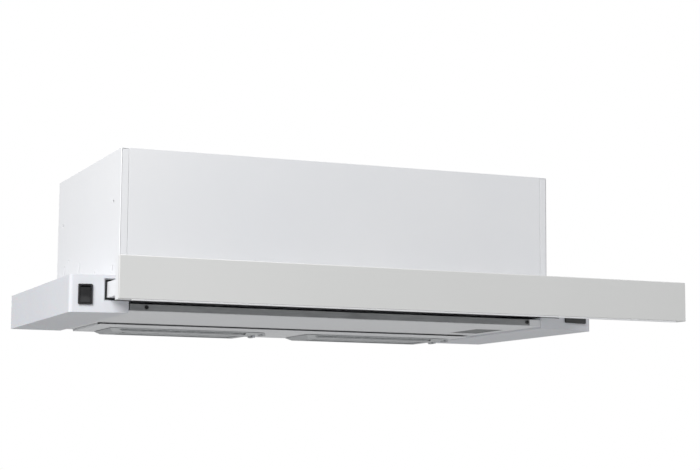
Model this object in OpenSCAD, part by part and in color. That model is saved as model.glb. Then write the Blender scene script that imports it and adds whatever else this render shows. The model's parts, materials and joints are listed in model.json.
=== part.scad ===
// Telescopic kitchen cooker hood, 60 cm class, drawn with its drawer pulled out.
// Millimetres. +Z up, front towards -Y. The origin is on the wall plane, halfway across,
// level with the underside of the cupboard that the wings sit against.

/* [Base] */
// Width of the base across its wings
base_w = 597; // [590:1:600]
// Depth of the base from the wall to its outer front corners
base_d = 283; // [280:1:290]
// Height of the base below the cupboard
base_h = 38; // [37:0.5:40]
// How far the middle of the front stands ahead of its outer corners
sweep = 15; // [10:1:18]
// Wall thickness of the moulded wings
shell_t = 2.5; // [2:0.1:2.8]

/* [Casing] */
// Width of the casing that goes up into the cupboard
casing_w = 493; // [490:1:496]
// Depth of the casing from the wall
casing_d = 277; // [274:1:279]
// Height of the casing above the base
casing_h = 134; // [132:1:150]
// Thickness of the steel sheet
sheet_t = 1; // [0.8:0.1:1.2]

/* [Drawer] */
// Width of the glass front
panel_w = 598; // [594:1:600]
// Height of the glass front
panel_h = 42; // [41:0.5:44]
// How far the glass front hangs below the base
panel_drop = 3.4; // [2:0.1:5]
// Travel of the drawer from closed to pulled out
travel = 163; // [150:1:170]
// Thickness of the glass
glass_t = 4; // [3:0.5:5]
// Gap between the drawer's sides and the ends of their slots
side_gap = 3.6; // [3:0.1:4]

/* [Filters] */
// Width of one grease filter
filter_w = 183; // [178:1:184]
// Depth of one grease filter
filter_d = 75; // [72:1:76]
// How far a filter bulges below its rim
filter_bulge = 3.4; // [3:0.1:3.6]

/* [Fan] */
// Outer radius of the impeller
impeller_r = 45; // [42:1:46]
// Width of the impeller
impeller_w = 88; // [80:1:90]
// Number of blades round the impeller
blade_count = 30; // [24:1:32]

/* [Outlet] */
// Outside diameter of the outlet collar
outlet_d = 120; // [118:1:122]
// Height of the outlet collar above the casing
outlet_h = 20; // [18:1:22]

/* [Hidden] */
$fn = 48;

white = [0.93, 0.93, 0.94];
steel_grey = [0.45, 0.46, 0.47];
zinc = [0.72, 0.73, 0.75];
alu = [0.78, 0.79, 0.80];
black = [0.06, 0.06, 0.07];

// Base
half_w = base_w / 2;
ledge_l = 241;
ledge_r = 228;
slot_l = 265;
slot_r = 253;
slot_low = -26;
slot_high = -3.5;
corner_r = 5;
middle = [-ledge_l, ledge_r];
lip_y = -base_d - sweep;
under_z = -base_h + 2;
rail_face = lip_y + 2;
rail_top = under_z + 7.5;
rail = [1.6 - ledge_l, ledge_r - 13.5];
rail_screw_x = [19 - ledge_l, ledge_r - 17];
rail_screw_z = under_z + 4.5;
panel_back_y = -128;
switch_x = 283;
slider_x = 276;
switch_z = -19.8;
rocker_pivot = 2.5;

// Casing
half_c = casing_w / 2;
flange = 8;
rebate = 0.5;
casing_front_y = -casing_d;
screw_hole_r = 2;
screw_hole_z = 81;
screw_hole_y = [-249.5, -22.5];

// Drawer, pulled out
frame_back = lip_y - travel - 1;
frame_t = 11;
glass_back = frame_back - frame_t;
panel_low = -base_h - panel_drop;
half_p = panel_w / 2;
side_l = slot_l - side_gap;
side_r = slot_r - side_gap;
side_w = 11;
between = [-side_l + side_w, side_r - side_w];
side_low = -23;
side_high = -7;
side_end = frame_back + 250;
shoe_end = side_end + 22;
side_screw_d = [16, 190];

// Filters
filter_y1 = -12;
filter_y0 = filter_y1 - filter_d;
frame_z = under_z - 2.2;
frame_x = [-226.5, 222];
frame_front = panel_back_y + 1.5;
opening_x = [-228, 223.5];
rim_top = frame_z - 0.4;
rim_low = frame_z - 0.8;
bulge_low = rim_low - filter_bulge;
left_filter_x = -21 - filter_w;
right_filter_x = 32;
window_in = 6;
hinge_z = frame_z - 1.9;
hinge_off = 3;
hinge_pin_r = 0.8;
hinge_y = [-68, -32];

// Lamp
lamp_x = [183, 219];
lamp_y = [-228, -154];

latch_x = 9;
latch_y = -49.5;
knob_r = 3;
filter_t = 1;
mesh_t = 1.6;

// Terminal box and cable inlet
box_x = [120, 215];
box_y = [-88, -22];
box_z = [98, 131];
gland_x = 190;
gland_y = -45;
gland_r = 8;

// Fan: the axis runs along X
fan_y = -122;
fan_z = 70;
scroll_in = 50;
scroll_wall = 2.5;
tongue_a = 60;
r_tongue = impeller_r + 5;
r_mouth = 78;
shaft_r = 3;
bush_r = 6;
can_r = 28;
bore_r = shaft_r + 0.05;
rotor_r = 17;
mount_a = [30, 150, 270];
mount_r = 51;
ear_a = [110, 180, 225, 320];

// Outlet
outlet_y = -80;
outlet_r = outlet_d / 2;
screw_hole = 1.6;
casing_screw_y = [-262, -140, -18];
collar_screw_a = [45 : 90 : 315];
collar_screw_r = outlet_r + 4.2;
collar_t = 2;
flap_z = casing_h + 5;
flap_r = outlet_r - collar_t - 1.2;
pin_r = 1.5;

function arc(cx, cy, r, a0, a1, n) =
  [for (i = [0 : n]) let(a = a0 + (a1 - a0) * i / n) [cx + r * cos(a), cy + r * sin(a)]];

// Angle of the front face of a wing whose inner end is at this ledge
function face_a(ledge) = atan(sweep / (half_w - ledge));

// Front face of a wing at a distance x from the middle
function face_y(x, ledge) = -base_d - (half_w - x) * tan(face_a(ledge));

// Plan of a wing on the right-hand side, drawn t inside its outer faces
function wing_plan(t, ledge) = let(a = face_a(ledge)) concat(
  [[ledge + t, face_y(ledge + t, ledge) + t / cos(a)]],
  arc(half_w - corner_r, -base_d + corner_r * (1 - sin(a)) / cos(a),
      corner_r - t, a - 90, 0, 6),
  [[half_w - t, -t], [ledge + t, -t]]);

function scroll_r(a) = r_tongue + (r_mouth - r_tongue) * (a - tongue_a) / (360 - tongue_a);

// Side view of the fan scroll, drawn t outside its air passage
function scroll_plan(t, top) = concat(
  [for (a = [tongue_a : 12 : 360])
    [fan_y + (scroll_r(a) + t) * cos(a), fan_z + (scroll_r(a) + t) * sin(a)]],
  [[fan_y + r_mouth + t, top], [fan_y + 5 - t, top]]);

module block(x, y, z) {
  translate([x[0], y[0], z[0]]) cube([x[1] - x[0], y[1] - y[0], z[1] - z[0]]);
}

module round_rect(w, h, r) {
  square([w - 2 * r, h], center = true);
  square([w, h - 2 * r], center = true);
  for (i = [-1, 1], j = [-1, 1]) translate([i * (w / 2 - r), j * (h / 2 - r)]) circle(r);
}

module mirrored() {
  mirror([1, 0, 0]) children();
}

// Extrude a drawing of the YZ plane along X, from x0 over a length
module along_x(x0, length) {
  translate([x0, 0, 0]) rotate([90, 0, 90]) linear_extrude(length) children();
}

// Extrude a drawing of the XZ plane along Y, from y0 over a length
module along_y(y0, length) {
  translate([0, y0 + length, 0]) rotate([90, 0, 0]) linear_extrude(length) children();
}

module x_rod(x0, length, r) {
  translate([x0, 0, 0]) rotate([0, 90, 0]) cylinder(h = length, r = r);
}

module y_rod(y0, length, r) {
  translate([0, y0, 0]) rotate([-90, 0, 0]) cylinder(h = length, r = r);
}

module pan_screw(r, head, length) {
  cylinder(h = length, r = r * 0.5);
  translate([0, 0, length]) difference() {
    cylinder(h = head, r = r);
    translate([0, 0, head * 0.4]) block([-r * 0.8, r * 0.8], [-r * 0.14, r * 0.14], [0, head]);
    translate([0, 0, head * 0.4]) block([-r * 0.14, r * 0.14], [-r * 0.8, r * 0.8], [0, head]);
  }
}

// Local frame on the swept front face of a right-hand wing: -Y points out of the face
module on_face(x, ledge) {
  translate([x, face_y(x, ledge), switch_z]) rotate([0, 0, face_a(ledge)]) children();
}

// ---- Base ----

// Hollow moulded wing with a ledge under the drawer and a cut-out for one control
module wing(ledge, slot, control_x, cut_w) {
  difference() {
    translate([0, 0, -base_h]) linear_extrude(base_h) polygon(wing_plan(0, ledge));
    // hollow beside the drawer
    translate([0, 0, -base_h + shell_t]) linear_extrude(base_h - 2 * shell_t)
      intersection() {
        polygon(wing_plan(shell_t, ledge));
        translate([slot + shell_t, -400]) square([100, 500]);
      }
    // hollow of the ledge under the drawer
    translate([0, 0, -base_h + shell_t]) linear_extrude(slot_low + base_h - 2 * shell_t)
      polygon(wing_plan(shell_t, ledge));
    // rebate that the casing stands in
    block([ledge - 1, half_c + 0.3], [lip_y - 5, 1], [-rebate, 1]);
    // drawer slot, open at the front and inwards
    block([ledge - 1, slot], [lip_y - 5, -shell_t], [slot_low, slot_high]);
    // window for the wires
    block([slot - 1, slot + shell_t + 1], [-200, -160], [-22, -10]);
    // cut-out for the control
    on_face(control_x, ledge) block([-cut_w / 2, cut_w / 2], [-2, shell_t + 2], [-9.6, 9.6]);
  }
}

module left_wing() {
  color(white) mirrored() wing(ledge_l, slot_l, switch_x, 13);
}

module right_wing() {
  color(white) wing(ledge_r, slot_r, slider_x, 26);
}

module front_rail() {
  color(steel_grey) difference() {
    union() {
      block(rail, [rail_face, rail_face + 2], [under_z + sheet_t, rail_top]);
      block(rail, [rail_face, rail_face + 16], [under_z + sheet_t, under_z + sheet_t + 1.2]);
    }
    for (x = rail_screw_x) translate([x, 0, rail_screw_z]) y_rod(rail_face - 1, 5, 1);
  }
}

module front_strip() {
  color(white) block(middle, [lip_y, casing_front_y + 8], [slot_high, 0]);
}

module bottom_panel() {
  flap_h = 6;
  color(white) difference() {
    union() {
      difference() {
        block(middle, [rail_face, -sheet_t], [under_z, under_z + sheet_t]);
        block(opening_x, [panel_back_y, 0], [under_z - 1, under_z + 1]);
      }
      block(opening_x, [panel_back_y - sheet_t, panel_back_y], [under_z, under_z + 3]);
      for (x = [middle[0], middle[1] - sheet_t])
        block([x, x + sheet_t], [rail_face + 20, -sheet_t], [under_z, under_z + flap_h]);
      // tab beside the end of the rail
      block([rail[1], middle[1]], [rail_face, rail_face + sheet_t], [under_z, rail_top]);
    }
    block(lamp_x, lamp_y, [under_z - 1, under_z + 2]);
  }
}

module filter_frame() {
  color(white) difference() {
    union() {
      block(frame_x, [frame_front, -sheet_t], [frame_z, frame_z + sheet_t]);
      block(frame_x, [-sheet_t * 2, -sheet_t], [frame_z, under_z + 9]);
      for (x = [frame_x[0], frame_x[1] - sheet_t])
        block([x, x + sheet_t], [frame_front + 12, -sheet_t], [frame_z, under_z + 9]);
    }
    for (x = [left_filter_x, right_filter_x])
      block([x + window_in, x + filter_w - window_in],
            [filter_y0 + window_in, filter_y1 - window_in], [frame_z - 1, frame_z + 2]);
  }
}

// Pins and cheeks that the right-hand end of each filter hangs from
module filter_hinges() {
  color(zinc) for (x = [left_filter_x, right_filter_x], y = hinge_y) {
    hx = x + filter_w + hinge_off;
    translate([hx, 0, hinge_z]) y_rod(y - 7, 14, hinge_pin_r);
    for (s = [-7, 5])
      block([hx - 1.2, hx + 2.2], [y + s, y + s + 2], [hinge_z - 1.2, frame_z]);
  }
}

// ---- Casing ----

module casing_side() {
  color(white) difference() {
    union() {
      block([half_c - sheet_t, half_c], [casing_front_y, 0], [-rebate, casing_h]);
      // front flange, short of the top by the corner relief
      block([half_c - flange, half_c - sheet_t], [casing_front_y, casing_front_y + sheet_t],
            [0, casing_h - 1.4]);
      block([half_c - 13, half_c], [casing_front_y + 3, -3],
            [casing_h - 2 * sheet_t, casing_h - sheet_t]);
    }
    for (y = screw_hole_y)
      translate([0, y, screw_hole_z]) x_rod(half_c - 3, 6, screw_hole_r);
    for (y = casing_screw_y)
      translate([half_c - 7, y, casing_h - 5]) cylinder(h = 6, r = screw_hole);
    translate([0, -55, 37.5]) x_rod(half_c - 3, 6, 1.5);
    translate([0, -176, 13]) x_rod(half_c - 3, 6, 1.5);
    block([half_c - 3, half_c + 3], [-38.5, -35.5], [22, 32.5]);
    block([half_c - 3, half_c + 3], [-107.5, -104.5], [19, 30]);
    block([half_c - 3, half_c + 3], [-251, -248], [8, 14.5]);
  }
}

module casing_left() {
  mirrored() casing_side();
}

module casing_right() {
  casing_side();
}

module casing_front() {
  inner = half_c - flange - 0.3;
  color(white) {
    block([-inner, inner], [casing_front_y, casing_front_y + sheet_t], [0, casing_h]);
    for (s = [-1, 1])
      block([s > 0 ? inner - 10 : -half_c + sheet_t + 0.5, s > 0 ? half_c - sheet_t - 0.5 : 10 - inner],
            [casing_front_y + sheet_t, casing_front_y + 2 * sheet_t], [1, casing_h - 3]);
  }
}

module casing_back() {
  color(white) {
    block([-half_c + sheet_t, half_c - sheet_t], [-sheet_t, 0], [0, casing_h]);
    block(middle, [-sheet_t, 0], [under_z, 0]);
  }
}

module casing_top() {
  color(white) difference() {
    block([-half_c + sheet_t, half_c - sheet_t], [casing_front_y + sheet_t, -sheet_t],
          [casing_h - sheet_t, casing_h]);
    translate([0, outlet_y, casing_h - 2]) cylinder(h = 4, r = outlet_r - 4, $fn = 96);
    translate([gland_x, gland_y, casing_h - 2]) cylinder(h = 4, r = gland_r);
    for (s = [-1, 1], y = casing_screw_y)
      translate([s * (half_c - 7), y, casing_h - 2]) cylinder(h = 4, r = screw_hole);
    for (a = collar_screw_a)
      translate([0, outlet_y, casing_h - 2]) rotate(a)
        translate([collar_screw_r, 0, 0]) cylinder(h = 4, r = screw_hole);
  }
}

module casing_screws() {
  color(zinc) for (s = [-1, 1], y = casing_screw_y)
    translate([s * (half_c - 7), y, casing_h - 6]) pan_screw(3.2, 1.6, 6);
}

module rail_screws() {
  color(black) for (x = rail_screw_x)
    translate([x, rail_face, rail_screw_z]) rotate([90, 0, 0])
      translate([0, 0, -4]) pan_screw(2, 1.2, 4);
}

// ---- Outlet ----

module outlet_collar() {
  color(black) difference() {
    union() {
      translate([0, outlet_y, casing_h]) cylinder(h = 2, r = outlet_r + 8, $fn = 96);
      translate([0, outlet_y, casing_h]) cylinder(h = outlet_h, r = outlet_r, $fn = 96);
    }
    translate([0, outlet_y, casing_h - 1])
      cylinder(h = outlet_h, r = outlet_r - collar_t - 5, $fn = 96);
    translate([0, outlet_y, flap_z - 0.7])
      cylinder(h = outlet_h, r = outlet_r - collar_t, $fn = 96);
    translate([0, outlet_y, flap_z]) x_rod(-outlet_r - 1, outlet_d + 2, pin_r);
    for (a = collar_screw_a)
      translate([0, outlet_y, casing_h - 1]) rotate(a)
        translate([collar_screw_r, 0, 0]) cylinder(h = 4, r = screw_hole);
  }
}

module collar_screws() {
  color(zinc) for (a = collar_screw_a)
    translate([0, outlet_y, casing_h - 5]) rotate(a)
      translate([collar_screw_r, 0, 0]) pan_screw(3, 1.6, 7);
}

module flap_pin() {
  color(zinc) translate([0, outlet_y, flap_z]) x_rod(-outlet_r + 0.5, outlet_d - 1, pin_r);
}

// Half disc of the non-return valve, behind the pin, with its knuckles at these places
module flap(knuckles) {
  color(black) difference() {
    translate([0, outlet_y, flap_z]) {
      translate([0, 0, -0.6]) difference() {
        cylinder(h = 1.2, r = flap_r, $fn = 96);
        translate([-100, -198, -1]) cube([200, 200, 4]);
        for (x = [-50, -25, 0, 25])
          if (len(search(x, knuckles)) == 0) translate([x - 0.4, 0, -1]) cube([25.8, 4, 4]);
      }
      for (x = knuckles) {
        x_rod(x + 1, 23, pin_r + 1.4);
        translate([x + 1, 0, -0.6]) cube([23, 4, 1.2]);
      }
    }
    translate([0, outlet_y, flap_z]) x_rod(-outlet_r, outlet_d, pin_r + 0.05);
  }
}

module flap_back() {
  flap([-50, 0]);
}

module flap_front() {
  translate([0, 2 * outlet_y, 0]) mirror([0, 1, 0]) flap([-25, 25]);
}

// ---- Fan ----

// Places of the ears that bolt the halves of the scroll together
module on_ear(a) {
  r = scroll_r(a) + 6;
  translate([0, fan_y + r * cos(a), fan_z + r * sin(a)]) children();
}

module scroll_half() {
  top = casing_h - sheet_t;
  flange_r = outlet_r + 1;
  color([0.25, 0.26, 0.27]) difference() {
    union() {
      along_x(0, scroll_in + scroll_wall) polygon(scroll_plan(scroll_wall, top));
      block([0, flange_r], [outlet_y - flange_r, outlet_y + flange_r - 3], [top - 2.5, top]);
      for (a = ear_a) on_ear(a) x_rod(0, 8, 5);
      translate([0, fan_y, fan_z]) x_rod(scroll_in + scroll_wall, 3, 44);
    }
    along_x(-1, scroll_in + 1) polygon(scroll_plan(0, top + 5));
    translate([0, fan_y, fan_z]) x_rod(10, scroll_in, 39);
    for (a = ear_a) on_ear(a) x_rod(-1, 10, screw_hole);
    for (a = [-45, 45])
      translate([0, outlet_y, top - 5]) rotate(a)
        translate([collar_screw_r, 0, 0]) cylinder(h = 6, r = screw_hole);
  }
}

module scroll_right() {
  scroll_half();
}

module scroll_left() {
  mirrored() scroll_half();
}

module scroll_screws() {
  color(zinc) for (a = ear_a) on_ear(a)
    translate([-9, 0, 0]) rotate([0, 90, 0]) pan_screw(3, 1.6, 17);
}

module blade() {
  steps = 4;
  lean = 16;
  outer = [for (i = [0 : steps]) let(r = 36 + (impeller_r - 36) * i / steps,
           a = lean * pow(i / steps, 1.5)) [r * cos(a), r * sin(a)]];
  inner = [for (i = [steps : -1 : 0]) let(r = 36 + (impeller_r - 36) * i / steps,
           a = lean * pow(i / steps, 1.5) - 1.5) [r * cos(a), r * sin(a)]];
  polygon(concat(outer, inner));
}

module impeller() {
  w = impeller_w / 2;
  color([0.2, 0.2, 0.22]) translate([0, fan_y, fan_z]) rotate([0, 90, 0]) {
    translate([0, 0, -w]) linear_extrude(impeller_w)
      for (i = [0 : blade_count - 1]) rotate(i * 360 / blade_count) blade();
    for (z = [-w - 1, w - 2]) translate([0, 0, z]) difference() {
      cylinder(h = 3, r = impeller_r + 1, $fn = 96);
      translate([0, 0, -1]) cylinder(h = 5, r = impeller_r - 3, $fn = 96);
    }
    difference() {
      union() {
        translate([0, 0, -1]) cylinder(h = 2, r = impeller_r + 1, $fn = 96);
        translate([0, 0, -1]) cylinder(h = 15, r = 8);
      }
      translate([0, 0, -3]) cylinder(h = 20, r = shaft_r);
    }
  }
}

module motor_shaft() {
  color(zinc) translate([0, fan_y, fan_z]) x_rod(-74, 94, shaft_r);
}

module impeller_nut() {
  color(zinc) translate([0, fan_y, fan_z]) rotate([0, 90, 0]) translate([0, 0, 14])
    difference() {
      cylinder(h = 4, r = 6, $fn = 6);
      translate([0, 0, -1]) cylinder(h = 6, r = shaft_r);
    }
}

module motor_can() {
  color(zinc) translate([0, fan_y, fan_z]) difference() {
    union() {
      x_rod(-62, 54, can_r);
      x_rod(-66, 62, 12);
    }
    x_rod(-60, 50, can_r - 2);
    x_rod(-68, 66, bush_r);
  }
}

module motor_stator() {
  color([0.5, 0.5, 0.52]) translate([0, fan_y, fan_z]) difference() {
    x_rod(-52, 34, can_r - 2);
    x_rod(-53, 36, rotor_r + 0.6);
    for (a = [0 : 60 : 300]) rotate([a, 0, 0])
      block([-53, -17], [rotor_r - 1, can_r - 4], [-2.2, 2.2]);
  }
}

module motor_rotor() {
  color([0.45, 0.45, 0.47]) translate([0, fan_y, fan_z]) difference() {
    x_rod(-50, 30, rotor_r);
    x_rod(-51, 32, shaft_r);
  }
}

module motor_bushes() {
  color([0.7, 0.55, 0.3]) translate([0, fan_y, fan_z])
    for (x = [-66, -12]) difference() {
      x_rod(x, 8, bush_r);
      x_rod(x - 1, 10, bore_r);
    }
}

module motor_spider() {
  x0 = -scroll_in - scroll_wall - 8;
  color(zinc) translate([0, fan_y, fan_z]) difference() {
    union() {
      x_rod(x0, 3, can_r + 3);
      for (a = mount_a) rotate([a, 0, 0]) {
        block([x0, x0 + 3], [can_r, mount_r], [-5, 5]);
        translate([0, mount_r, 0]) x_rod(x0, 3, 7);
      }
    }
    x_rod(x0 - 1, 5, can_r);
    for (a = mount_a) rotate([a, 0, 0]) translate([0, mount_r, 0]) x_rod(x0 - 1, 5, 2);
  }
}

module rubber_mounts() {
  x0 = -scroll_in - scroll_wall - 5;
  color(black) translate([0, fan_y, fan_z]) for (a = mount_a)
    rotate([a, 0, 0]) translate([0, mount_r, 0]) difference() {
      x_rod(x0, 5, 6);
      x_rod(x0 - 1, 7, 2);
    }
}

// ---- Electrics ----

module terminal_box() {
  color([0.9, 0.9, 0.88]) difference() {
    union() {
      block(box_x, box_y, [box_z[0], casing_h - sheet_t]);
      for (x = [box_x[0] - 10, box_x[1]])
        block([x, x + 10], [-62, -48], [casing_h - sheet_t - 3, casing_h - sheet_t]);
    }
    block([box_x[0] + 2, box_x[1] - 2], [box_y[0] + 2, box_y[1] - 2], [box_z[0] - 1, box_z[1]]);
    translate([gland_x, gland_y, box_z[0]]) cylinder(h = 50, r = gland_r);
  }
}

module terminal_cover() {
  color([0.85, 0.85, 0.83]) {
    block(box_x, box_y, [box_z[0] - 2, box_z[0]]);
    block([box_x[0] + 2.5, box_x[1] - 2.5], [box_y[0] + 2.5, box_y[1] - 2.5],
          [box_z[0], box_z[0] + 2]);
  }
}

module capacitor() {
  color([0.85, 0.86, 0.88]) translate([0, -150, casing_h - sheet_t - 16]) {
    x_rod(130, 48, 15);
    x_rod(178, 4, 9);
    block([138, 150], [-15, 15], [0, 16]);
  }
}

module cable_gland() {
  color(black) translate([gland_x, gland_y, 0]) difference() {
    union() {
      translate([0, 0, casing_h]) cylinder(h = 2.5, r = gland_r + 3);
      translate([0, 0, box_z[1]]) cylinder(h = casing_h - box_z[1], r = gland_r);
      translate([0, 0, casing_h + 2.5]) cylinder(h = 7, r = 6);
    }
    translate([0, 0, box_z[1] - 1]) cylinder(h = 30, r = 3.6);
  }
}

module lamp_housing() {
  low = under_z + sheet_t;
  color(white) difference() {
    block([lamp_x[0] - 4, lamp_x[1] + 4], [lamp_y[0] - 4, lamp_y[1] + 4], [low, low + 10]);
    block([lamp_x[0] - 2.5, lamp_x[1] + 2.5], [lamp_y[0] - 2.5, lamp_y[1] + 2.5],
          [low - 1, low + 8.8]);
  }
}

module lamp_board() {
  top = under_z + sheet_t + 8.8;
  color([0.9, 0.9, 0.85]) {
    block([lamp_x[0], lamp_x[1]], [lamp_y[0], lamp_y[1]], [top - 1.6, top]);
    for (i = [0 : 2], j = [0 : 3])
      block([lamp_x[0] + 5 + i * 11, lamp_x[0] + 9 + i * 11],
            [lamp_y[0] + 9 + j * 16, lamp_y[0] + 13 + j * 16], [top - 2.6, top - 1.6]);
  }
}

module lamp_lens() {
  low = under_z + sheet_t;
  color([0.9, 0.92, 0.92])
    block([lamp_x[0] - 2, lamp_x[1] + 2], [lamp_y[0] - 2, lamp_y[1] + 2], [low, low + 1.5]);
}

// Two-position rocker switch and its frame, drawn on the swept face
module light_switch_body() {
  color(black) mirrored() on_face(switch_x, ledge_l) difference() {
    union() {
      rotate([90, 0, 0]) linear_extrude(1.5) round_rect(14.5, 20.5, 1.2);
      block([-6.4, 6.4], [0, 15], [-9.5, 9.5]);
    }
    block([-5.3, 5.3], [-3, 8], [-8.5, 8.5]);
    translate([0, rocker_pivot, 0]) x_rod(-6, 12, 0.86);
  }
}

module light_rocker() {
  color(black) mirrored() on_face(switch_x, ledge_l) translate([0, rocker_pivot, 0])
    rotate([7, 0, 0]) {
      along_x(-5, 10)
        polygon([[-5.2, 7.5], [-3.9, 3], [-3.5, 0], [-3.9, -3], [-5.2, -7.5], [1, -6.2],
                 [3, -2.5], [3, 2.5], [1, 6.2]]);
      x_rod(-5.8, 11.6, 0.8);
    }
}

module speed_switch_body() {
  color(black) on_face(slider_x, ledge_r) difference() {
    union() {
      rotate([90, 0, 0]) linear_extrude(1.5) round_rect(30, 20.5, 1.2);
      block([-12.9, 12.9], [0, 16], [-9.5, 9.5]);
    }
    block([-11.2, 11.2], [-3, 2], [-3.2, 3.2]);
    block([-12, 12], [1, 5], [-5, 5]);
  }
}

module speed_slider() {
  color(black) on_face(slider_x, ledge_r) translate([-7, 0, 0]) {
    difference() {
      block([-3.8, 3.8], [-4, 3], [-2.9, 2.9]);
      for (x = [-2, 0, 2]) block([x - 0.35, x + 0.35], [-5, -3.4], [-4, 4]);
    }
    block([-4.6, 4.6], [1.3, 4.6], [-4.7, 4.7]);
  }
}

// ---- Drawer runners ----

module slide_rail(slot) {
  y = [lip_y + 8, -20];
  color(zinc) {
    block([slot - 1.3, slot - 0.3], y, [slot_low, slot_high]);
    for (z = [slot_low, slot_high - sheet_t]) block([slot - 19, slot - 0.3], y, [z, z + sheet_t]);
    // stop for the shoe when the drawer is out
    block([slot - 3.1, slot - 1.3], [side_end - 2, side_end - 0.4], [-9, slot_high - sheet_t]);
  }
}

module slide_rail_right() {
  slide_rail(slot_r);
}

module slide_rail_left() {
  mirrored() slide_rail(slot_l);
}

// Nylon pads at the mouth of one rail
module glide(slot) {
  y = [lip_y + 8, lip_y + 28];
  x = [slot - 17, slot - 1.3];
  low = side_low - 0.35;
  high = side_high + 0.35;
  block(x, y, [slot_low + sheet_t, low]);
  block(x, y, [high, slot_high - sheet_t]);
  block([slot - side_gap + 0.35, x[1]], y, [low, high]);
}

module front_glides() {
  color(black) {
    glide(slot_r);
    mirrored() glide(slot_l);
  }
}

// One side of the drawer, with its outer face at this distance from the middle
module drawer_side(outer) {
  y = [frame_back, side_end];
  color(white) difference() {
    union() {
      block([outer - 1.2, outer], y, [side_low, side_high]);
      for (z = [side_low, side_high - 1.2]) block([outer - side_w, outer], y, [z, z + 1.2]);
      block([outer - side_w, outer], [frame_back, frame_back + 1.2], [side_low, side_high]);
    }
    for (d = side_screw_d) translate([0, frame_back + d, -15]) x_rod(outer - 3, 6, 1.2);
  }
}

module drawer_right() {
  drawer_side(side_r);
}

module drawer_left() {
  mirrored() drawer_side(side_l);
}

module shoe(slot) {
  difference() {
    block([slot - 16, slot - 1.6], [side_end, shoe_end],
          [slot_low + sheet_t + 0.3, slot_high - sheet_t - 0.3]);
    block([slot - 17, slot - 7], [side_end + 4, shoe_end - 4], [-20, -10]);
  }
}

module slide_shoes() {
  color([0.9, 0.9, 0.88]) {
    shoe(slot_r);
    mirrored() shoe(slot_l);
  }
}

module side_screws(outer) {
  for (d = side_screw_d)
    translate([outer - 4, frame_back + d, -15]) rotate([0, 90, 0]) pan_screw(2.4, 0.3, 4);
}

module drawer_screws() {
  color(zinc) {
    side_screws(side_r);
    mirrored() side_screws(side_l);
  }
}

module drawer_rear_bar() {
  color(zinc) {
    block(between, [side_end - 14, side_end], [side_low + 1.2, side_low + 2.2]);
    block(between, [side_end - 1, side_end], [side_low + 1.2, side_high - 1.2]);
    block([-slot_l + 16, slot_r - 16], [side_end, side_end + 1], [side_low + 3, side_high - 2]);
  }
}

// Frame that carries the filter of the drawer
module drawer_tray() {
  color(zinc) difference() {
    union() {
      block(between, [frame_back, side_end - 14], [side_low + 1.2, side_low + 2.2]);
      block(between, [frame_back, frame_back + 1.2], [side_low + 2.2, side_high]);
    }
    block([between[0] + 12, between[1] - 12], [frame_back + 14, side_end - 24],
          [side_low, side_low + 4]);
  }
}

module drawer_filter() {
  x = [between[0] + 4, between[1] - 4];
  half = (x[1] - x[0]) / 2;
  low = side_low + 2.2;
  color(alu) difference() {
    block(x, [frame_back + 4, side_end - 15], [low, low + 8]);
    for (i = [0, 1], z = [low - 1, low + 5])
      block([x[0] + i * half + 8, x[0] + (i + 1) * half - 8],
            [frame_back + 14, side_end - 25], [z, z + 4]);
  }
}

// White painted glass and the folded frame behind it
module glass_panel() {
  color([0.88, 0.89, 0.88])
    block([-half_p, half_p], [glass_back - glass_t, glass_back], [panel_low + 2, panel_low + panel_h]);
}

module panel_frame() {
  t = 1.5;
  color(white) difference() {
    union() {
      block([-half_p + 0.5, half_p - 0.5], [glass_back, frame_back],
            [panel_low + 2, panel_low + panel_h - 0.5]);
      block([-half_p + 12, half_p - 12], [glass_back - glass_t, glass_back + 1],
            [panel_low + 1, panel_low + 2]);
    }
    block([-half_p + 0.5 + t, half_p - 0.5 - t], [glass_back + t, frame_back - t],
          [panel_low + 2 + t, panel_low + panel_h - 0.5 - t]);
    for (s = [-1, 1]) block([s * 200 - 12, s * 200 + 12], [frame_back - t - 1, frame_back + 1],
                            [-38, -28]);
  }
}

// ---- Grease filters ----

module filter_shape(t) {
  low = bulge_low + t;
  intersection() {
    along_y(filter_y0 + t, filter_d - 2 * t)
      polygon([[t, rim_top + t], [t, rim_low], [4 + t, low], [filter_w - 19 - t, low],
               [filter_w - t, rim_low], [filter_w - t, rim_top + t]]);
    along_x(0, filter_w)
      polygon([[filter_y0 + t, rim_top + t], [filter_y0 + t, rim_low],
               [filter_y0 + 8 + t, low], [filter_y1 - 12 - t, low],
               [filter_y1 - t, rim_low], [filter_y1 - t, rim_top + t]]);
  }
}

module filter_tray(x) {
  t = filter_t;
  color(alu) translate([x, 0, 0]) difference() {
    union() {
      difference() {
        filter_shape(0);
        filter_shape(t);
      }
      for (y = hinge_y) {
        translate([filter_w + hinge_off, 0, hinge_z]) y_rod(y - 4, 8, 1.5);
        block([filter_w - 0.5, filter_w + hinge_off], [y - 4, y + 4],
              [hinge_z - 1, hinge_z + 1.5]);
        block([filter_w - 2, filter_w], [y - 4, y + 4], [rim_low - 0.6, rim_top]);
      }
    }
    // opening that the latch slides in
    block([latch_x - 3.4, latch_x + 7.4], [latch_y - 3.4, latch_y + 3.4], [bulge_low - 1, rim_low]);
    // windows of the mesh: one across the front slope, one in the flat bottom
    block([14, filter_w - 22], [filter_y0 + 1.6, filter_y0 + 6.6],
          [bulge_low - 1, rim_low - 0.3]);
    block([18, filter_w - 26], [filter_y0 + 11, filter_y1 - 15],
          [bulge_low - 1, bulge_low + t + 0.1]);
    for (y = hinge_y)
      translate([filter_w + hinge_off, 0, hinge_z]) y_rod(y - 5, 10, hinge_pin_r + 0.06);
  }
}

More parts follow.
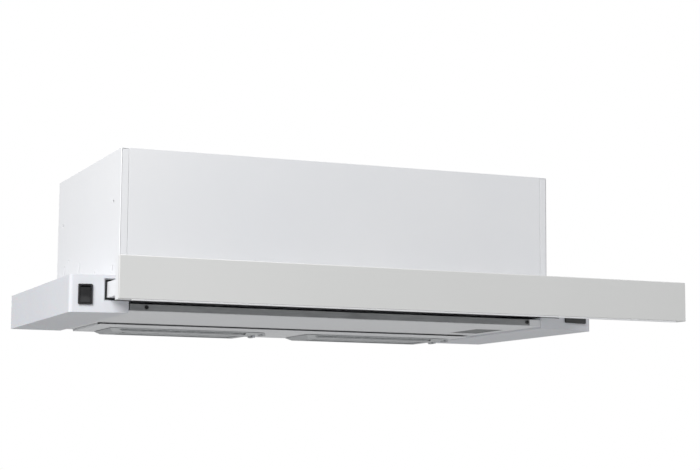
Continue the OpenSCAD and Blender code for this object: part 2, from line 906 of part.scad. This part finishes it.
// Pressed mesh pack that lies on the inside of the tray
module filter_mesh(x) {
  color([0.7, 0.71, 0.72]) translate([x, 0, 0]) intersection() {
    difference() {
      filter_shape(filter_t);
      translate([0, 0, mesh_t]) filter_shape(filter_t);
    }
    difference() {
      block([11, filter_w - 8], [filter_y0, filter_y1], [bulge_low, rim_top]);
      block([0, latch_x + 12], [latch_y - 7, latch_y + 7], [bulge_low, rim_top + 1]);
    }
  }
}

// Finger latch: a knob in the dish and a tongue that bears on the edge of the frame
module filter_latch(x) {
  top = frame_z + sheet_t + 0.4;
  color(steel_grey) translate([x + latch_x, latch_y, 0]) {
    translate([0, 0, bulge_low + 0.6]) cylinder(h = 2.4, r = knob_r);
    block([-2.4, 1.5], [-2, 2], [bulge_low + 2, top + 0.8]);
    block([window_in - latch_x + 0.3, 1.5], [-6, 6], [frame_z - 0.2, top + 0.8]);
  }
}

module left_filter_tray() {
  filter_tray(left_filter_x);
}

module right_filter_tray() {
  filter_tray(right_filter_x);
}

module left_filter_mesh() {
  filter_mesh(left_filter_x);
}

module right_filter_mesh() {
  filter_mesh(right_filter_x);
}

module left_filter_latch() {
  filter_latch(left_filter_x);
}

module right_filter_latch() {
  filter_latch(right_filter_x);
}

left_wing();
right_wing();
front_rail();
front_strip();
bottom_panel();
filter_frame();
casing_left();
casing_right();
casing_front();
casing_back();
casing_top();
outlet_collar();
flap_pin();
scroll_left();
scroll_right();
motor_can();
motor_stator();
motor_bushes();
motor_spider();
rubber_mounts();
capacitor();
terminal_box();
terminal_cover();
cable_gland();
lamp_housing();
lamp_board();
lamp_lens();
light_switch_body();
speed_switch_body();
slide_rail_left();
slide_rail_right();
front_glides();
casing_screws();
rail_screws();
collar_screws();
scroll_screws();
filter_hinges();
impeller();
motor_shaft();
motor_rotor();
impeller_nut();
flap_front();
flap_back();
glass_panel();
panel_frame();
drawer_left();
drawer_right();
drawer_rear_bar();
drawer_tray();
drawer_filter();
slide_shoes();
drawer_screws();
left_filter_tray();
left_filter_mesh();
left_filter_latch();
right_filter_tray();
right_filter_mesh();
right_filter_latch();
light_rocker();
speed_slider();
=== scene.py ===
import json
import math

import bmesh
import bpy
from mathutils import Matrix, Vector


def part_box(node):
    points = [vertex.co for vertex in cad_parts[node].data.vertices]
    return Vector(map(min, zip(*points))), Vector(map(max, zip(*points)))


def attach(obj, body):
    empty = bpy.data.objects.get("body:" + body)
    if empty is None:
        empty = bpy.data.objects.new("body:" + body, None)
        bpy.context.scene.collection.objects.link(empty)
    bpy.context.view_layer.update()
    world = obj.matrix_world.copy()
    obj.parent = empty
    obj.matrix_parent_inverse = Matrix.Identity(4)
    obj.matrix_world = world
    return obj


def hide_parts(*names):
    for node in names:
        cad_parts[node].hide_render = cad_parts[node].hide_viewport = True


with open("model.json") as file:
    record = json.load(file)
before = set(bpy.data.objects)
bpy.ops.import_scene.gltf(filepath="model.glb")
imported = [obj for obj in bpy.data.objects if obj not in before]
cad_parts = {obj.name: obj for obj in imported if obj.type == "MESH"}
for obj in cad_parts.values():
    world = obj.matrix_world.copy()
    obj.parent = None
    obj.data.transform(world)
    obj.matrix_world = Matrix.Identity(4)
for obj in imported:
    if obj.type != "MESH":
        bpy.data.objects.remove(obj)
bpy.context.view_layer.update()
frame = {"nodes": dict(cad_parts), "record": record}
nodes = frame["nodes"]
record = frame["record"]
slotOf = {part["node"]: part["material_slot"] for part in record["subparts"]}
bodyOf = {n: body for body, names in record["behaviour"]["bodies"].items() for n in names}
mm = 0.001
print("frame loaded,", len(nodes), "nodes")

# Camera, studio and floor
camera = {
    "place": (-0.7154, -2.0457, -0.1761), "turn": 22.23, "tilt": 6.94, "roll": 0.45,
    "lens": 92.1, "sensor": 36, "nearest": 0.05, "farthest": 60,
}
studio = {
    "floorLevel": -1.6, "floorSize": 9.0,
    "backdrop": 1.0, "ambient": 0.345, "ambientColour": (0.965, 0.98, 1.0, 1),
}
softboxes = [
    {"name": "keySoftbox", "place": (-1.75, -1.5, 1.6), "aim": (-0.1, -0.25, 0.03),
     "size": 1.7, "power": 75},
    {"name": "sideSoftbox", "place": (-2.4, -0.3, 0.5), "aim": (-0.2, -0.15, 0.05),
     "size": 1.0, "power": 6},
    {"name": "fillSoftbox", "place": (2.8, -1.6, 0.3), "aim": (0.1, -0.25, 0.0),
     "size": 1.6, "power": 10},
    {"name": "topSoftbox", "place": (0.3, 0.9, 2.4), "aim": (0.0, -0.15, 0.0),
     "size": 1.6, "power": 20},
]


def linked(name, data):
    holder = bpy.data.objects.new(name, data)
    bpy.context.collection.objects.link(holder)
    return holder


def setCamera():
    turn, tilt, roll = (math.radians(camera[k]) for k in ("turn", "tilt", "roll"))
    ahead = Vector((math.sin(turn) * math.cos(tilt), math.cos(turn) * math.cos(tilt), math.sin(tilt)))
    level = Vector((math.cos(turn), -math.sin(turn), 0))
    upward = level.cross(ahead)
    right = math.cos(roll) * level + math.sin(roll) * upward
    up = -math.sin(roll) * level + math.cos(roll) * upward
    data = bpy.data.cameras.new("camera")
    data.lens, data.sensor_width = camera["lens"], camera["sensor"]
    data.clip_start, data.clip_end = camera["nearest"], camera["farthest"]
    holder = linked("camera", data)
    axes = Matrix((right, up, -ahead)).transposed().to_4x4()
    holder.matrix_world = Matrix.Translation(camera["place"]) @ axes
    bpy.context.scene.camera = holder


def setStudio():
    world = bpy.data.worlds.new("studio")
    world.use_nodes = True
    tree = world.node_tree
    out = tree.nodes["World Output"]
    fill = tree.nodes["Background"]
    fill.inputs["Color"].default_value = studio["ambientColour"]
    fill.inputs["Strength"].default_value = studio["ambient"]
    paper = tree.nodes.new("ShaderNodeBackground")
    paper.inputs["Color"].default_value = (1, 1, 1, 1)
    paper.inputs["Strength"].default_value = studio["backdrop"]
    path = tree.nodes.new("ShaderNodeLightPath")
    mix = tree.nodes.new("ShaderNodeMixShader")
    tree.links.new(path.outputs["Is Camera Ray"], mix.inputs[0])
    tree.links.new(fill.outputs[0], mix.inputs[1])
    tree.links.new(paper.outputs[0], mix.inputs[2])
    tree.links.new(mix.outputs[0], out.inputs["Surface"])
    bpy.context.scene.world = world
    for box in softboxes:
        lamp = bpy.data.lights.new(box["name"], "AREA")
        lamp.size, lamp.energy = box["size"], box["power"]
        holder = linked(box["name"], lamp)
        holder.location = box["place"]
        beam = Vector(box["aim"]) - Vector(box["place"])
        holder.rotation_euler = beam.to_track_quat("-Z", "Y").to_euler()
    bpy.context.scene.view_settings.view_transform = "Standard"


setCamera()
setStudio()
print("camera and studio set")


# Node helpers for the finishes: every pattern reads Object coordinates, in metres
def newFinish(name, colour, rough, metal=0.0, **sockets):
    finish = bpy.data.materials.new(name)
    finish.use_nodes = True
    shader = finish.node_tree.nodes["Principled BSDF"]
    shader.inputs["Base Color"].default_value = (*colour, 1)
    shader.inputs["Roughness"].default_value = rough
    shader.inputs["Metallic"].default_value = metal
    for socket, value in sockets.items():
        shader.inputs[socket].default_value = value
    finish.diffuse_color = (*colour, 1)
    return finish


def placed(finish, stretch=(1, 1, 1)):
    tree = finish.node_tree
    coord = tree.nodes.new("ShaderNodeTexCoord")
    mapping = tree.nodes.new("ShaderNodeMapping")
    mapping.inputs["Scale"].default_value = stretch
    tree.links.new(coord.outputs["Object"], mapping.inputs["Vector"])
    return mapping.outputs["Vector"]


def noise(finish, scale, detail=3, stretch=(1, 1, 1)):
    tree = finish.node_tree
    texture = tree.nodes.new("ShaderNodeTexNoise")
    texture.inputs["Scale"].default_value = scale
    texture.inputs["Detail"].default_value = detail
    tree.links.new(placed(finish, stretch), texture.inputs["Vector"])
    return texture.outputs["Fac"]


def cells(finish, scale, feature="F1", output="Color", stretch=(1, 1, 1)):
    tree = finish.node_tree
    texture = tree.nodes.new("ShaderNodeTexVoronoi")
    texture.feature = feature
    texture.inputs["Scale"].default_value = scale
    tree.links.new(placed(finish, stretch), texture.inputs["Vector"])
    return texture.outputs[output]


def bands(finish, scale, direction="X", distort=0.0):
    tree = finish.node_tree
    texture = tree.nodes.new("ShaderNodeTexWave")
    texture.bands_direction = direction
    texture.inputs["Scale"].default_value = scale
    texture.inputs["Distortion"].default_value = distort
    tree.links.new(placed(finish), texture.inputs["Vector"])
    return texture.outputs["Fac"]


def tint(finish, pattern, low, high, start=0.35, end=0.65):
    tree = finish.node_tree
    ramp = tree.nodes.new("ShaderNodeValToRGB")
    for stop, at, colour in zip(ramp.color_ramp.elements, (start, end), (low, high)):
        stop.position, stop.color = at, (*colour, 1)
    tree.links.new(pattern, ramp.inputs["Fac"])
    tree.links.new(ramp.outputs["Color"], tree.nodes["Principled BSDF"].inputs["Base Color"])


def sheen(finish, pattern, low, high):
    tree = finish.node_tree
    spread = tree.nodes.new("ShaderNodeMapRange")
    for socket, value in (("From Min", 0.3), ("From Max", 0.7), ("To Min", low), ("To Max", high)):
        spread.inputs[socket].default_value = value
    tree.links.new(pattern, spread.inputs["Value"])
    tree.links.new(spread.outputs["Result"], tree.nodes["Principled BSDF"].inputs["Roughness"])


def relief(finish, pattern, depth, strength=1.0):
    tree = finish.node_tree
    bump = tree.nodes.new("ShaderNodeBump")
    bump.inputs["Strength"].default_value = strength
    bump.inputs["Distance"].default_value = depth
    tree.links.new(pattern, bump.inputs["Height"])
    last = tree.nodes["Principled BSDF"].inputs["Normal"]
    if last.is_linked:  # a second relief goes over the first
        tree.links.new(last.links[0].from_socket, bump.inputs["Normal"])
    tree.links.new(bump.outputs["Normal"], last)


def powderCoat():
    finish = newFinish("powderCoat", (0.84, 0.845, 0.86), 0.38,
                       **{"Coat Weight": 0.25, "Coat Roughness": 0.25})
    tint(finish, noise(finish, 7), (0.832, 0.838, 0.856), (0.85, 0.853, 0.866))
    sheen(finish, noise(finish, 160), 0.34, 0.44)
    relief(finish, noise(finish, 750, 2), 0.00003, 0.35)  # orange peel of the sprayed powder
    return finish


# The wings' moulding is a slightly bluish white of its own, and its colour is set lower still: painted
# shade that stands in for the downward lean of the wing fronts, which the model doesn't have
def mouldedWhite():
    finish = newFinish("mouldedWhite", (0.69, 0.70, 0.735), 0.34,
                       **{"Subsurface Weight": 0.05, "Subsurface Scale": 0.002})
    tint(finish, noise(finish, 9), (0.68, 0.69, 0.728), (0.70, 0.71, 0.742))
    sheen(finish, noise(finish, 300), 0.30, 0.42)
    relief(finish, noise(finish, 2600, 2), 0.00002, 0.4)  # fine spark-eroded grain
    return finish


def paintedGlass():
    finish = newFinish("paintedGlass", (0.745, 0.745, 0.735), 0.30,
                       **{"Coat Weight": 0.6, "Coat Roughness": 0.03, "Coat IOR": 1.5})
    tint(finish, noise(finish, 5), (0.738, 0.74, 0.728), (0.754, 0.754, 0.744))
    relief(finish, noise(finish, 14, 1), 0.00002, 0.2)  # slight draw of the float glass
    return finish


def railEnamel():
    finish = newFinish("railEnamel", (0.30, 0.305, 0.31), 0.42, **{"Coat Weight": 0.15})
    streaks = noise(finish, 60, 4, (1, 18, 18))
    tint(finish, streaks, (0.27, 0.275, 0.28), (0.33, 0.335, 0.34))
    sheen(finish, streaks, 0.36, 0.5)
    relief(finish, noise(finish, 1500, 2), 0.00002, 0.3)
    return finish


def zincPlate():
    finish = newFinish("zincPlate", (0.62, 0.64, 0.66), 0.36, 0.9)
    spangle = cells(finish, 140)
    tint(finish, spangle, (0.55, 0.57, 0.60), (0.68, 0.69, 0.70), 0.2, 0.8)
    sheen(finish, spangle, 0.30, 0.46)
    relief(finish, noise(finish, 900, 3), 0.00002, 0.35)
    return finish


def groundSteel():
    finish = newFinish("groundSteel", (0.56, 0.57, 0.58), 0.24, 1.0)
    turned = noise(finish, 50, 4, (40, 1, 1))
    tint(finish, turned, (0.50, 0.51, 0.52), (0.62, 0.63, 0.64))
    sheen(finish, turned, 0.18, 0.34)
    relief(finish, turned, 0.00001, 0.3)
    return finish


def stackedSteel():
    finish = newFinish("stackedSteel", (0.22, 0.225, 0.24), 0.5, 0.8)
    sheets = bands(finish, 320, "X")
    tint(finish, sheets, (0.16, 0.165, 0.175), (0.30, 0.305, 0.32), 0.1, 0.9)
    relief(finish, sheets, 0.00012, 0.6)
    sheen(finish, noise(finish, 500), 0.42, 0.6)
    return finish


def rolledAluminium():
    finish = newFinish("rolledAluminium", (0.60, 0.61, 0.62), 0.38, 0.75)
    grain = noise(finish, 45, 5, (1, 26, 26))  # rolling lines run along the width
    tint(finish, grain, (0.56, 0.57, 0.58), (0.65, 0.66, 0.67))
    sheen(finish, grain, 0.32, 0.48)
    relief(finish, grain, 0.00002, 0.35)
    return finish


def strandAluminium():
    finish = newFinish("strandAluminium", (0.50, 0.51, 0.52), 0.42, 0.8)
    tint(finish, noise(finish, 120, 4), (0.42, 0.43, 0.44), (0.56, 0.57, 0.58))
    sheen(finish, noise(finish, 700), 0.34, 0.52)
    relief(finish, noise(finish, 2400, 2), 0.00003, 0.4)
    return finish


def drawnCan():
    finish = newFinish("drawnCan", (0.66, 0.67, 0.68), 0.3, 0.9)
    lines = noise(finish, 60, 4, (1, 12, 12))
    tint(finish, lines, (0.60, 0.61, 0.62), (0.71, 0.72, 0.73))
    sheen(finish, lines, 0.24, 0.38)
    relief(finish, lines, 0.00001, 0.3)
    return finish


def grainedPlastic(name, colour, share=0.12, rough=0.45, depth=0.00003):
    finish = newFinish(name, colour, rough)
    darker, lighter = (tuple(c * (1 + s * share) for c in colour) for s in (-1, 1))
    tint(finish, noise(finish, 220, 3), darker, lighter)
    sheen(finish, noise(finish, 500), rough - 0.07, rough + 0.1)
    relief(finish, cells(finish, 2100, "SMOOTH_F1", "Distance"), depth, 0.45)
    return finish


def whiteBoard():
    finish = newFinish("whiteBoard", (0.74, 0.75, 0.71), 0.35)
    tree = finish.node_tree
    tracks = tree.nodes.new("ShaderNodeTexBrick")
    tracks.inputs["Color1"].default_value = (0.76, 0.77, 0.73, 1)
    tracks.inputs["Color2"].default_value = (0.71, 0.72, 0.68, 1)
    tracks.inputs["Mortar"].default_value = (0.60, 0.58, 0.50, 1)
    tracks.inputs["Scale"].default_value = 90
    tracks.inputs["Mortar Size"].default_value = 0.03
    tree.links.new(placed(finish), tracks.inputs["Vector"])
    tree.links.new(tracks.outputs["Color"], tree.nodes["Principled BSDF"].inputs["Base Color"])
    relief(finish, noise(finish, 1800, 2), 0.00002, 0.3)
    return finish


def frostedAcrylic():
    finish = newFinish("frostedAcrylic", (0.24, 0.245, 0.25), 0.42,
                       **{"Transmission Weight": 0.35, "IOR": 1.49})
    tint(finish, noise(finish, 60, 2), (0.23, 0.235, 0.24), (0.25, 0.255, 0.26))
    relief(finish, cells(finish, 900, "F1", "Distance"), 0.00006, 0.5)  # frosting
    return finish


def sinteredBronze():
    finish = newFinish("sinteredBronze", (0.50, 0.33, 0.15), 0.45, 0.9)
    pores = cells(finish, 2600, "F1", "Distance")
    tint(finish, pores, (0.30, 0.19, 0.08), (0.55, 0.37, 0.18), 0.05, 0.4)
    relief(finish, pores, 0.00004, 0.5)
    return finish


finishes = {
    "white_moulding": mouldedWhite(),
    "white_paint": powderCoat(),
    "rail_grey": railEnamel(),
    "white_glass": paintedGlass(),
    "zinc": zincPlate(),
    "shaft_steel": groundSteel(),
    "lamination": stackedSteel(),
    "filter_alu": rolledAluminium(),
    "mesh_alu": strandAluminium(),
    "can_alu": drawnCan(),
    "latch_grey": grainedPlastic("latchGrey", (0.20, 0.205, 0.21)),
    "black_moulding": grainedPlastic("blackMoulding", (0.012, 0.012, 0.013), 0.2, 0.42),
    "fan_moulding": grainedPlastic("fanMoulding", (0.045, 0.046, 0.05), 0.2, 0.5),
    "pale_moulding": grainedPlastic("paleMoulding", (0.72, 0.72, 0.69), 0.02, 0.42),
    "nylon": grainedPlastic("nylon", (0.72, 0.70, 0.63), 0.03, 0.4),
    "circuit_board": whiteBoard(),
    "frosted_lens": frostedAcrylic(),
    "black_screw": grainedPlastic("blackenedSteel", (0.02, 0.02, 0.021), 0.25, 0.35, 0.00001),
    "bush_bronze": sinteredBronze(),
    "mount_rubber": grainedPlastic("mountRubber", (0.016, 0.016, 0.016), 0.2, 0.7),
}
print("finishes made")


# A copy of a CAD piece with its corners broken, as folding and moulding leave them.
# Edges that turn by more than curve degrees are corners, and the rest belong to curved walls.
rounding = {"weld": 0.004 * mm, "flat": 0.6, "normalWeight": 100}


def roundedCopy(name, node, edge, steps=2, fold=None, isFold=None, curve=30):
    source = nodes[node].data
    work = bmesh.new()
    corners = [work.verts.new(v.co) for v in source.vertices]
    for face in source.polygons:
        work.faces.new([corners[i] for i in face.vertices])
    bmesh.ops.remove_doubles(work, verts=work.verts, dist=rounding["weld"])
    weight = work.edges.layers.float.new("bevel_weight_edge")
    widest = fold or edge
    for line in work.edges:
        if len(line.link_faces) == 2 and line.calc_face_angle(0) > math.radians(curve):
            big = isFold is not None and isFold(line.verts[0].co, line.verts[1].co)
            line[weight] = 1.0 if big else edge / widest
    for face in work.faces:  # only curved walls are smooth, so flat sheets keep one even shade
        face.smooth = any(rounding["flat"] < math.degrees(line.calc_face_angle(0)) < curve
                          for line in face.edges)
    mesh = bpy.data.meshes.new(name)
    work.to_mesh(mesh)
    work.free()
    mesh.set_sharp_from_angle(angle=math.radians(curve))
    mesh.materials.append(finishes[slotOf[node]])
    piece = linked(name, mesh)
    bevel = piece.modifiers.new("brokenEdges", "BEVEL")
    bevel.limit_method, bevel.width, bevel.segments = "WEIGHT", widest, steps
    bevel.use_clamp_overlap = True
    bevel.loop_slide = False
    facing = piece.modifiers.new("flatFaces", "WEIGHTED_NORMAL")
    facing.weight, facing.keep_sharp = rounding["normalWeight"], True
    return standIn(piece, node)


def standIn(piece, *hidden):
    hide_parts(*hidden)
    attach(piece, bodyOf[hidden[0]])
    return piece


def pieceName(node):
    first, *others = node.split("_")
    return first + "".join(word.capitalize() for word in others)


def uprightAt(x, y, near=0.02 * mm):
    # test for an edge that runs up one fold line
    def test(a, b):
        return all(abs(end.x - x) < near and abs(end.y - y) < near for end in (a, b))
    return test


# Base: two moulded wings, the strip over the drawer, the rail and the sheet underside
base = {"wingEdge": 0.9 * mm, "wingSteps": 3, "sheetEdge": 0.28 * mm, "railEdge": 0.35 * mm}
roundedCopy("leftWing", "left_wing", base["wingEdge"], base["wingSteps"])
roundedCopy("rightWing", "right_wing", base["wingEdge"], base["wingSteps"])
roundedCopy("frontStrip", "front_strip", base["sheetEdge"])
roundedCopy("frontRail", "front_rail", base["railEdge"])
roundedCopy("bottomPanel", "bottom_panel", base["sheetEdge"])
roundedCopy("filterFrame", "filter_frame", base["sheetEdge"])
print("base done")

# Casing: folded sheets, with the larger radius on the outer folds
casing = {"edge": 0.28 * mm, "fold": 1.0 * mm, "foldSteps": 3}
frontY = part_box("casing_left")[0].y
for side, sign in (("left", -1), ("right", 1)):
    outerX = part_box("casing_" + side)[0 if sign < 0 else 1].x
    roundedCopy(pieceName("casing_" + side), "casing_" + side, casing["edge"], casing["foldSteps"],
                casing["fold"], uprightAt(outerX, frontY))
for node in ("casing_front", "casing_back", "casing_top"):
    roundedCopy(pieceName(node), node, casing["edge"])
print("casing done")

# Outlet: collar and its flaps; their pin is rounded with the small parts below
outlet = {"edge": 0.4 * mm, "flapEdge": 0.25 * mm}
roundedCopy("outletCollar", "outlet_collar", outlet["edge"], 2)
roundedCopy("flapFront", "flap_front", outlet["flapEdge"], 1)
roundedCopy("flapBack", "flap_back", outlet["flapEdge"], 1)

# Fan and electrics
fan = {"edge": 0.5 * mm, "spiderEdge": 0.3 * mm}
electrics = {"boxEdge": 0.8 * mm, "coverEdge": 0.5 * mm, "glandEdge": 0.6 * mm}
roundedCopy("scrollLeft", "scroll_left", fan["edge"])
roundedCopy("scrollRight", "scroll_right", fan["edge"])
roundedCopy("motorCan", "motor_can", fan["edge"])
roundedCopy("motorSpider", "motor_spider", fan["spiderEdge"])
roundedCopy("capacitorCan", "capacitor", electrics["boxEdge"])
roundedCopy("terminalBox", "terminal_box", electrics["boxEdge"])
roundedCopy("terminalCover", "terminal_cover", electrics["coverEdge"])
roundedCopy("cableGland", "cable_gland", electrics["glandEdge"])
print("fan and electrics done")

# Controls
controls = {"bezelEdge": 0.45 * mm, "rockerEdge": 0.5 * mm, "steps": 3, "sliderEdge": 0.25 * mm}
roundedCopy("lightSwitch", "light_switch_body", controls["bezelEdge"], controls["steps"])
roundedCopy("speedSwitch", "speed_switch_body", controls["bezelEdge"], controls["steps"])
roundedCopy("lightRocker", "light_rocker", controls["rockerEdge"], controls["steps"])
print("controls done")
roundedCopy("speedSlider", "speed_slider", controls["sliderEdge"])

# Drawer
drawer = {
    "glassEdge": 0.7 * mm, "glassSteps": 3, "frameEdge": 0.5 * mm, "sheetEdge": 0.28 * mm,
    "glideEdge": 0.4 * mm, "shoeEdge": 0.6 * mm,
}
roundedCopy("glassPanel", "glass_panel", drawer["glassEdge"], drawer["glassSteps"])
roundedCopy("panelFrame", "panel_frame", drawer["frameEdge"])
for node in ("drawer_left", "drawer_right", "drawer_rear_bar", "drawer_tray",
             "slide_rail_left", "slide_rail_right"):
    roundedCopy(pieceName(node), node, drawer["sheetEdge"])
roundedCopy("frontGlides", "front_glides", drawer["glideEdge"])
roundedCopy("slideShoes", "slide_shoes", drawer["shoeEdge"])
print("drawer done")

# Grease filters
filters = {"trayEdge": 0.45 * mm, "trayCurve": 12, "latchEdge": 0.4 * mm}
for side in ("left", "right"):
    roundedCopy(side + "FilterTray", side + "_filter_tray", filters["trayEdge"],
                curve=filters["trayCurve"])
    roundedCopy(side + "FilterLatch", side + "_filter_latch", filters["latchEdge"])


# Expanded metal: diamond cells cut in staggered rows, drawn as strands by the wireframe modifier
lattice = {
    "cellX": 5.0 * mm, "cellY": 2.6 * mm, "strand": 0.55 * mm,
    "layers": 3, "layerGap": 0.5 * mm, "layerShift": 0.33,
}


def expandedMetal(name, low, high, heightAt, skip=None, layers=lattice["layers"], coarser=1.0):
    work = bmesh.new()
    stepX, stepY = coarser * lattice["cellX"] / 2, coarser * lattice["cellY"] / 2
    countX, countY = int((high.x - low.x) / stepX), int((high.y - low.y) / stepY)
    for layer in range(layers):
        drift = layer * lattice["layerShift"]
        points = {}
        for i in range(1, countX - 1):
            for j in range(1, countY):
                centre = (low.x + (i + drift) * stepX, low.y + j * stepY)
                if (i + j) % 2 or (skip and skip(*centre)):
                    continue
                cell = []
                for di, dj in ((-1, 0), (0, -1), (1, 0), (0, 1)):
                    key = (i + di, j + dj)
                    if key not in points:
                        x, y = low.x + (key[0] + drift) * stepX, low.y + key[1] * stepY
                        points[key] = work.verts.new((x, y, heightAt(y) + layer * lattice["layerGap"]))
                    cell.append(points[key])
                work.faces.new(cell)
    mesh = bpy.data.meshes.new(name)
    work.to_mesh(mesh)
    work.free()
    piece = linked(name, mesh)
    strands = piece.modifiers.new("strands", "WIREFRAME")
    strands.thickness, strands.use_even_offset = lattice["strand"], False
    return piece


# The two grease filters' meshes lie on the tray's bottom and climb its front and back slopes
filterMesh = {
    "lift": 0.3 * mm, "stack": 1.9 * mm, "frontSlope": 7 * mm, "backSlope": 11 * mm,
    "hingeMargin": 13 * mm, "latchMargin": 12 * mm, "latchGap": 3 * mm,
}
for side in ("left", "right"):
    node = side + "_filter_mesh"
    low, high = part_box(node)
    latchLow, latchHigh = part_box(side + "_filter_latch")
    bottom, rise = low.z + filterMesh["lift"], high.z - low.z - filterMesh["stack"]
    beside, gap = latchHigh.x + filterMesh["latchMargin"], filterMesh["latchGap"]

    def heightAt(y, low=low, high=high, bottom=bottom, rise=rise):
        front, back = (y - low.y) / filterMesh["frontSlope"], (high.y - y) / filterMesh["backSlope"]
        return bottom + rise * max(0.0, 1 - front, 1 - back)

    def nearLatch(x, y, beside=beside, lowY=latchLow.y - gap, highY=latchHigh.y + gap):
        return x < beside and lowY < y < highY

    far = high - Vector((filterMesh["hingeMargin"], 0, 0))
    piece = expandedMetal(side + "FilterMesh", low, far, heightAt, nearLatch)
    piece.data.materials.append(finishes["mesh_alu"])
    standIn(piece, node)
print("filters done")


# Drawer filter: a folded rim and a middle bar round two panes of expanded metal
def barsPiece(name, node, bars, edge):
    work = bmesh.new()
    for low, high in bars:
        cube = bmesh.ops.create_cube(work, size=1)["verts"]
        for vert in cube:
            vert.co = Vector(low[k] + (vert.co[k] + 0.5) * (high[k] - low[k]) for k in range(3))
    mesh = bpy.data.meshes.new(name)
    work.to_mesh(mesh)
    work.free()
    mesh.materials.append(finishes[slotOf[node]])
    piece = linked(name, mesh)
    bevel = piece.modifiers.new("brokenEdges", "BEVEL")
    bevel.width, bevel.segments, bevel.harden_normals = edge, 2, True
    return standIn(piece, node)


pane = {
    "rim": 12 * mm, "bar": 14 * mm, "inset": 0.4 * mm, "overlap": 0.2 * mm, "edge": 0.6 * mm,
    "lowerLift": 1.0 * mm, "upperDrop": 2.2 * mm, "layers": 2, "coarser": 1.5,
}
low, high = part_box("drawer_filter")
middleX, rim, overlap = (low.x + high.x) / 2, pane["rim"], pane["overlap"]
barsPiece("drawerFilterRim", "drawer_filter", [
    ((low.x, low.y, low.z), (high.x, low.y + rim, high.z)),
    ((low.x, high.y - rim, low.z), (high.x, high.y, high.z)),
    ((low.x, low.y + rim - overlap, low.z), (low.x + rim, high.y - rim + overlap, high.z)),
    ((high.x - rim, low.y + rim - overlap, low.z), (high.x, high.y - rim + overlap, high.z)),
    ((middleX - pane["bar"] / 2, low.y + rim - overlap, low.z + pane["inset"]),
     (middleX + pane["bar"] / 2, high.y - rim + overlap, high.z - pane["inset"])),
], pane["edge"])
for index, (x0, x1) in enumerate(((low.x + rim / 2, middleX), (middleX, high.x - rim / 2))):
    near, far = Vector((x0, low.y + rim / 2, 0)), Vector((x1, high.y - rim / 2, 0))
    for face, level in (("Lower", low.z + pane["lowerLift"]), ("Upper", high.z - pane["upperDrop"])):
        sheet = expandedMetal(f"drawerFilterPane{index + 1}{face}", near, far,
                              lambda y, level=level: level,
                              layers=pane["layers"], coarser=pane["coarser"])
        sheet.data.materials.append(finishes["mesh_alu"])
        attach(sheet, "drawer")
print("drawer filter done")

# Pale ring meant for the front of the rocker. It can't be seen: tiny facets of the pivot pins get
# into the mean that places it, so it lies 1.4 mm behind the pad. Only the pad's faces should count
mark = {"radius": 1.25 * mm, "wire": 0.22 * mm, "around": 40, "across": 10}
rocker = nodes["light_rocker"].data
pad = max((f for f in rocker.polygons if f.normal.y < -0.5), key=lambda f: f.area)
padPoints = [rocker.vertices[i].co for f in rocker.polygons if f.normal.dot(pad.normal) > 0.999
             for i in f.vertices]
middle = sum(padPoints, Vector()) / len(padPoints)
bpy.ops.mesh.primitive_torus_add(major_radius=mark["radius"], minor_radius=mark["wire"],
                                 major_segments=mark["around"], minor_segments=mark["across"])
ring = bpy.context.object
ring.name = ring.data.name = "rockerRing"
ring.data.transform(pad.normal.to_track_quat("Z", "Y").to_matrix().to_4x4())
ring.data.transform(Matrix.Translation(middle))
ring.data.shade_smooth()
printInk = grainedPlastic("paleInk", (0.72, 0.72, 0.70), 0.03, 0.5, 0.00001)
ring.data.materials.append(printInk)
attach(ring, bodyOf["light_rocker"])

# Turned, pressed and moulded parts that need only smooth curves and a fine broken edge
fineEdges = {
    "impeller": 0.12, "motor_rotor": 0.3, "motor_stator": 0.2, "motor_shaft": 0.3, "motor_bushes": 0.3,
    "impeller_nut": 0.25, "rubber_mounts": 0.3, "flap_pin": 0.2, "filter_hinges": 0.12,
    "casing_screws": 0.12, "rail_screws": 0.1, "collar_screws": 0.12, "scroll_screws": 0.12,
    "drawer_screws": 0.1, "lamp_housing": 0.4, "lamp_lens": 0.3, "lamp_board": 0.12,
}
for node, edge in fineEdges.items():
    roundedCopy(pieceName(node), node, edge * mm)
print("small parts done")

# Every CAD node carries its own finish too
for name, node in nodes.items():
    node.data.materials.clear()
    node.data.materials.append(finishes[slotOf[name]])

floorMesh = bpy.data.meshes.new("floor")
half = studio["floorSize"] / 2
floorCorners = [(-half, -half, 0), (half, -half, 0), (half, half, 0), (-half, half, 0)]
floorMesh.from_pydata(floorCorners, [], [(0, 1, 2, 3)])
floorMesh.transform(Matrix.Translation((0, 0, studio["floorLevel"])))
floorPaint = newFinish("floorPaint", (0.80, 0.80, 0.79), 0.6)
tint(floorPaint, noise(floorPaint, 1.5), (0.79, 0.79, 0.78), (0.81, 0.81, 0.80))
# only the upper face is painted, so the underside can be looked at from under the floor
tree = floorPaint.node_tree
side = tree.nodes.new("ShaderNodeNewGeometry")
clear = tree.nodes.new("ShaderNodeBsdfTransparent")
mix = tree.nodes.new("ShaderNodeMixShader")
tree.links.new(side.outputs["Backfacing"], mix.inputs[0])
tree.links.new(tree.nodes["Principled BSDF"].outputs["BSDF"], mix.inputs[1])
tree.links.new(clear.outputs["BSDF"], mix.inputs[2])
tree.links.new(mix.outputs[0], tree.nodes["Material Output"].inputs["Surface"])
floorMesh.materials.append(floorPaint)
linked("floor", floorMesh)
print("floor laid")
